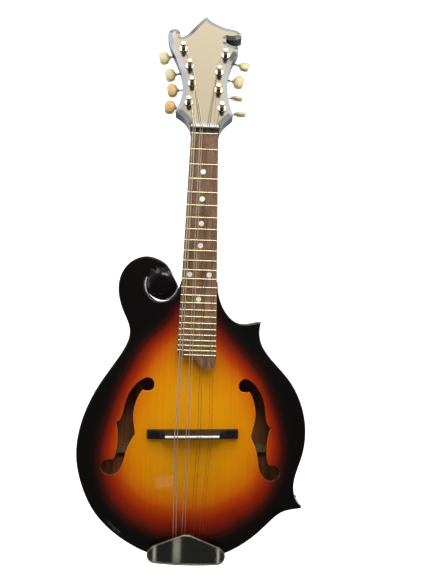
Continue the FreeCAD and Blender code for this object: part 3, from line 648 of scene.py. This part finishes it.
def bevelled_overlay():
    """The black face of the headstock, with its wide bevel."""
    frame_in = np.array(head_frame().inverted())
    facing = -np.array(head_frame().to_3x3().col[1])
    border = face_outlines("headstock_overlay", facing)[0]
    local = (border * MM) @ frame_in[:3, :3].T + frame_in[:3, 3]
    outer = resampled(local[:, [0, 2]] / MM, OVERLAY_STEP)
    flat, faces = triangulated(outer, [], [HEAD_BEVEL], OVERLAY_GRID)
    gap = distance_to(outer, flat)
    front = HEAD_BEVEL_DROP * np.clip(1 - gap / HEAD_BEVEL, 0, 1)
    vertices, fronts, backs, walls = slab(flat, faces, front, np.full(len(flat), OVERLAY_THICK))
    placed = [head_frame() @ Vector(vertex) for vertex in vertices]
    faces = fronts + backs + walls
    piece = new_piece("bevelled_overlay", placed, faces, "black_lacquer", "root")
    sharp_edges(piece, 7)
    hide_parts("headstock_overlay")


bevelled_overlay()


# ---------------------------------------------------------------- bridge
BRIDGE_EDGE = 0.8                   # how wide the bridge's edges are rounded
BRIDGE_SHARP = math.radians(35)     # the edges that turn by more than this are rounded


def softened_bridge():
    """The bridge's CAD shape with its edges rounded."""
    points, triangles = welded("bridge")
    shape = bmesh.new()
    corners = [shape.verts.new(point) for point in points]
    for triangle in triangles:
        shape.faces.new([corners[k] for k in triangle])
    level = math.radians(1)
    bmesh.ops.dissolve_limit(shape, angle_limit=level, verts=shape.verts, edges=shape.edges)
    edges = [edge for edge in shape.edges if edge.calc_face_angle(0.0) > BRIDGE_SHARP]
    bmesh.ops.bevel(shape, geom=edges, offset=BRIDGE_EDGE, segments=3, profile=0.5,
                    affect="EDGES", clamp_overlap=True)
    bmesh.ops.triangulate(shape, faces=shape.faces)
    vertices = [vertex.co * MM for vertex in shape.verts]
    shape.verts.index_update()
    faces = [[vertex.index for vertex in face.verts] for face in shape.faces]
    shape.free()
    piece = new_piece("softened_bridge", vertices, faces, "ebony", "root")
    sharp_edges(piece, 35)
    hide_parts("bridge")


softened_bridge()


# ---------------------------------------------------------------- tuner buttons and windings
JOINTS = {joint["name"]: joint for joint in frame["joints"]}
# Along the shaft from the button's middle, half width and half thickness.
BUTTON_PROFILE = [
    (-8.1, 0.9, 0.9), (-8.1, 2.1, 2.1), (-7.2, 2.2, 2.1), (-6.3, 3.3, 2.3), (-5.6, 5.2, 2.7),
    (-4.6, 7.0, 3.1), (-3.2, 8.3, 3.35), (-1.4, 9.0, 3.5), (0.6, 9.2, 3.5), (2.6, 9.0, 3.5),
    (4.2, 8.1, 3.4), (5.2, 6.7, 3.1), (5.8, 4.9, 2.6), (6.0, 3.2, 1.8),
]
BUTTON_END = 6.0                    # the button's outer end, from its middle
NECK_FROM = -6.5                    # the part nearer the shaft than this is round
BUTTON_SIDES = 40
BUTTON_SQUARE = 0.72                # below 1 makes the button's section squarer than an oval


def button_frame(number):
    """A button's middle and its directions along the shaft, across and through, from the CAD model."""
    joint = JOINTS[f"tuner_{number}_turn"]
    along = np.array(joint["axis"], float)
    points, _ = welded(f"tuner_{number}_button")
    reach = points @ along
    head = points[reach > reach.max() - 2 * BUTTON_END - 0.1]
    around = head - np.outer(head @ along, along)
    middle = (around.max(axis=0) + around.min(axis=0)) / 2
    _, spread = np.linalg.eigh(np.cov((around - around.mean(axis=0)).T))
    across = spread[:, 2]
    return middle + along * (reach.max() - BUTTON_END), along, across, np.cross(along, across)


def tuner_button(number):
    """A flat rounded button whose inner end narrows to the shaft."""
    middle, along, across, through = button_frame(number)
    vertices = []
    for reach, wide, thick in BUTTON_PROFILE:
        for k in range(BUTTON_SIDES):
            turn = 2 * math.pi * k / BUTTON_SIDES
            power = BUTTON_SQUARE if reach > NECK_FROM else 1.0
            u = math.copysign(abs(math.cos(turn)) ** power, math.cos(turn)) * wide
            v = math.copysign(abs(math.sin(turn)) ** power, math.sin(turn)) * thick
            vertices.append((middle + along * reach + across * u + through * v) * MM)
    faces = [tuple(reversed(range(BUTTON_SIDES)))]
    for ring in range(len(BUTTON_PROFILE) - 1):
        for k in range(BUTTON_SIDES):
            here, there = ring * BUTTON_SIDES + k, ring * BUTTON_SIDES + (k + 1) % BUTTON_SIDES
            faces.append((here, there, there + BUTTON_SIDES, here + BUTTON_SIDES))
    last = (len(BUTTON_PROFILE) - 1) * BUTTON_SIDES
    faces.append(tuple(range(last, last + BUTTON_SIDES)))
    material = "amber_ivory" if number in (1, 2) else "ivory"
    node = f"tuner_{number}_button"
    piece = new_piece("rounded_" + node, vertices, faces, material, f"tuner_{number}_shaft")
    sharp_edges(piece, 50)
    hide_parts(node)


WIRE_R, WINDING_R, WINDING_TURNS = 0.3, 2.45, 4.5
BASS_TUNERS = (1, 2, 3, 4)
WINDING_LOW, WINDING_HIGH = 5.4, 8.0        # above the headstock's face
WIRE_SIDES, TURN_PARTS = 8, 28


def string_winding(number):
    """The string's turns round its post."""
    joint = JOINTS[f"tuner_{number}_wind"]
    foot = head_frame().inverted() @ Vector(joint["pos_m"])
    sense = 1 if number in BASS_TUNERS else -1
    steps = int(WINDING_TURNS * TURN_PARTS)
    vertices = []
    for step in range(steps + 1):
        turn = sense * 2 * math.pi * step / TURN_PARTS
        level = WINDING_LOW + (WINDING_HIGH - WINDING_LOW) * step / steps
        for side in range(WIRE_SIDES):
            around = 2 * math.pi * side / WIRE_SIDES
            out = WINDING_R + WIRE_R * math.cos(around)
            place = (foot.x + out * math.cos(turn) * MM, -(level + WIRE_R * math.sin(around)) * MM,
                     foot.z + out * math.sin(turn) * MM)
            vertices.append(head_frame() @ Vector(place))
    faces = []
    for step in range(steps):
        for side in range(WIRE_SIDES):
            here, there = step * WIRE_SIDES + side, step * WIRE_SIDES + (side + 1) % WIRE_SIDES
            faces.append((here, here + WIRE_SIDES, there + WIRE_SIDES, there)[::sense])
    last = steps * WIRE_SIDES
    faces.append(tuple(range(WIRE_SIDES))[::sense])
    faces.append(tuple(range(last + WIRE_SIDES - 1, last - 1, -1))[::sense])
    wound, plain = ("wound_wire", "bronze_wound"), ("steel_wire", "plain_steel")
    material, slot = wound if number in BASS_TUNERS else plain
    new_piece(f"string_winding_{number}", vertices, faces, material, f"tuner_{number}_post")


for number in range(1, 9):
    tuner_button(number)
    string_winding(number)


# ---------------------------------------------------------------- camera, light and floor
CAMERA_PLACE = Vector((0.0074, -0.7826, -0.2045))
CAMERA_YAW, CAMERA_PITCH, CAMERA_ROLL = (math.radians(a) for a in (-0.88, 2.34, 1.98))


def add_camera():
    right = Vector((math.cos(CAMERA_YAW), math.sin(CAMERA_YAW), 0))
    ahead = Vector((-math.sin(CAMERA_YAW), math.cos(CAMERA_YAW), 0))
    above = Vector((0, 0, 1))
    lifted = above * math.cos(CAMERA_PITCH) - ahead * math.sin(CAMERA_PITCH)
    forward = ahead * math.cos(CAMERA_PITCH) + above * math.sin(CAMERA_PITCH)
    side = right * math.cos(CAMERA_ROLL) + lifted * math.sin(CAMERA_ROLL)
    top = lifted * math.cos(CAMERA_ROLL) - right * math.sin(CAMERA_ROLL)
    data = bpy.data.cameras.new("camera")
    data.sensor_width = 36.0
    data.lens = 43.49
    data.clip_start = 0.01
    camera = bpy.data.objects.new("camera", data)
    camera.matrix_world = Matrix((side, top, -forward)).transposed().to_4x4()
    camera.matrix_world.translation = CAMERA_PLACE
    bpy.context.scene.collection.objects.link(camera)
    bpy.context.scene.camera = camera


def softbox(name, place, target, size, brightness, colour=(1, 1, 1)):
    """A rectangular light whose power grows with its face's size, aimed at the target."""
    data = bpy.data.lights.new(name, "AREA")
    data.shape = "RECTANGLE"
    data.size, data.size_y = size
    data.color = colour
    data.energy = brightness * math.pi * size[0] * size[1]
    lamp = bpy.data.objects.new(name, data)
    place = Vector(place)
    aim = (Vector(target) - place).to_track_quat("-Z", "Y")
    lamp.matrix_world = Matrix.Translation(place) @ aim.to_matrix().to_4x4()
    bpy.context.scene.collection.objects.link(lamp)


FLOOR_Z = -1.0
# The floor ends just in front of the object, so that the glossy soundboard doesn't mirror it.
STAGE_FRONT, STAGE_BACK, STAGE_HALF, STAGE_TOP = -0.55, 2.6, 6.0, 3.2
SWEEP_R = 1.7
DARK_GREY, LIGHT_GREY = 0.06, 0.45      # the room in front of the soundboard, and the rest of it


def stage_piece(name, profile, shade, emission):
    """A wide sheet along a line of (y, z) points, of a grey shade and with its own glow."""
    vertices = [(side * STAGE_HALF, y, z) for y, z in profile for side in (-1, 1)]
    faces = [(2 * k, 2 * k + 1, 2 * k + 3, 2 * k + 2) for k in range(len(profile) - 1)]
    mesh = bpy.data.meshes.new(name)
    mesh.from_pydata(vertices, [], faces)
    mesh.polygons.foreach_set("use_smooth", [True] * len(faces))
    piece = bpy.data.objects.new(name, mesh)
    bpy.context.scene.collection.objects.link(piece)
    shader = Shader(name, Roughness=0.9, Specular_IOR_Level=0.1)
    shader.surface.inputs["Base Color"].default_value = grey(shade)
    shader.surface.inputs["Emission Color"].default_value = grey(1.0)
    shader.surface.inputs["Emission Strength"].default_value = emission
    mesh.materials.append(shader.material)


def add_stage():
    """A pale floor, and a white backdrop that sweeps up behind it."""
    bend = STAGE_BACK - SWEEP_R
    sweep = [(bend + SWEEP_R * math.sin(turn), FLOOR_Z + SWEEP_R * (1 - math.cos(turn)))
             for turn in (math.radians(step) for step in range(0, 91, 9))]
    stage_piece("studio_floor", [(STAGE_FRONT, FLOOR_Z), (bend, FLOOR_Z)], 0.6, 0.0)
    stage_piece("studio_backdrop", sweep + [(STAGE_BACK, STAGE_TOP)], 0.8, 0.85)


DARK_SIDE = (0.0, -0.96, -0.28)
HEAD_AIM = (0, 0.02, 0.09)
BODY_AIM = (0, -0.02, -0.33)
TAIL_AIM = (-0.004, -0.033, -0.4525)
TAIL_STRIP_Z = -0.822               # low enough that mostly the tailpiece reflects the strips


def add_room():
    """A pale room, darker on the side that the glossy soundboard faces."""
    world = bpy.data.worlds.new("studio")
    world.use_nodes = True
    tree = world.node_tree
    direction = tree.nodes.new("ShaderNodeTexCoord").outputs["Generated"]
    facing = tree.nodes.new("ShaderNodeVectorMath")
    facing.operation = "DOT_PRODUCT"
    facing.inputs[1].default_value = DARK_SIDE
    tree.links.new(direction, facing.inputs[0])
    fade = tree.nodes.new("ShaderNodeMapRange")
    fade.interpolation_type = "SMOOTHSTEP"
    fade.inputs["From Min"].default_value = 0.45
    fade.inputs["From Max"].default_value = 0.85
    fade.inputs["To Min"].default_value = LIGHT_GREY
    fade.inputs["To Max"].default_value = DARK_GREY
    tree.links.new(facing.outputs["Value"], fade.inputs["Value"])
    tree.links.new(fade.outputs["Result"], tree.nodes["Background"].inputs["Color"])
    bpy.context.scene.world = world


def add_light():
    softbox("over_middle", (0.16, -0.62, 1.45), HEAD_AIM, (0.62, 0.9), 6.2, (1.0, 0.82, 0.54))
    softbox("over_grey", (-0.38, -0.62, 1.45), HEAD_AIM, (0.5, 0.9), 3.2, (1.0, 0.90, 0.80))
    softbox("over_left", (-0.90, -0.50, 1.35), HEAD_AIM, (0.8, 0.9), 4.6, (0.76, 0.87, 1.0))
    softbox("over_right", (0.86, -0.50, 1.35), HEAD_AIM, (0.7, 0.9), 5.0, (0.92, 1.0, 0.92))
    softbox("over_back", (0.0, 0.22, 1.55), HEAD_AIM, (1.8, 0.6), 2.2, (0.9, 0.95, 1.0))
    softbox("bevel_left", (-0.52, -1.05, 0.85), HEAD_AIM, (0.4, 0.4), 2.6, (0.8, 0.88, 1.0))
    softbox("bevel_right", (0.52, -1.05, 0.85), HEAD_AIM, (0.4, 0.4), 2.6, (0.92, 1.0, 0.95))
    softbox("key_top", (0.1, -1.4, 0.62), BODY_AIM, (0.5, 0.35), 7.5)
    softbox("key_left", (-1.5, -0.9, 0.25), BODY_AIM, (0.9, 1.5), 1.5)
    softbox("key_right", (1.5, -0.9, 0.25), BODY_AIM, (0.9, 1.5), 1.2)
    softbox("back_left", (-1.5, 1.3, 0.2), BODY_AIM, (0.8, 1.4), 2.5)
    softbox("back_right", (1.5, 1.3, 0.2), BODY_AIM, (0.8, 1.4), 2.5)
    softbox("tail_strip", (-0.2, -1.15, TAIL_STRIP_Z), TAIL_AIM, (0.14, 0.07), 1.0, (1.0, 1.0, 0.9))
    softbox("tail_strip_left", (-0.62, -1.0, TAIL_STRIP_Z), TAIL_AIM, (0.05, 0.10), 1.6)
    softbox("tail_strip_right", (0.60, -1.0, TAIL_STRIP_Z), TAIL_AIM, (0.04, 0.10), 2.0)


add_camera()
add_room()
add_light()
add_stage()
bpy.context.scene.view_settings.view_transform = "Standard"
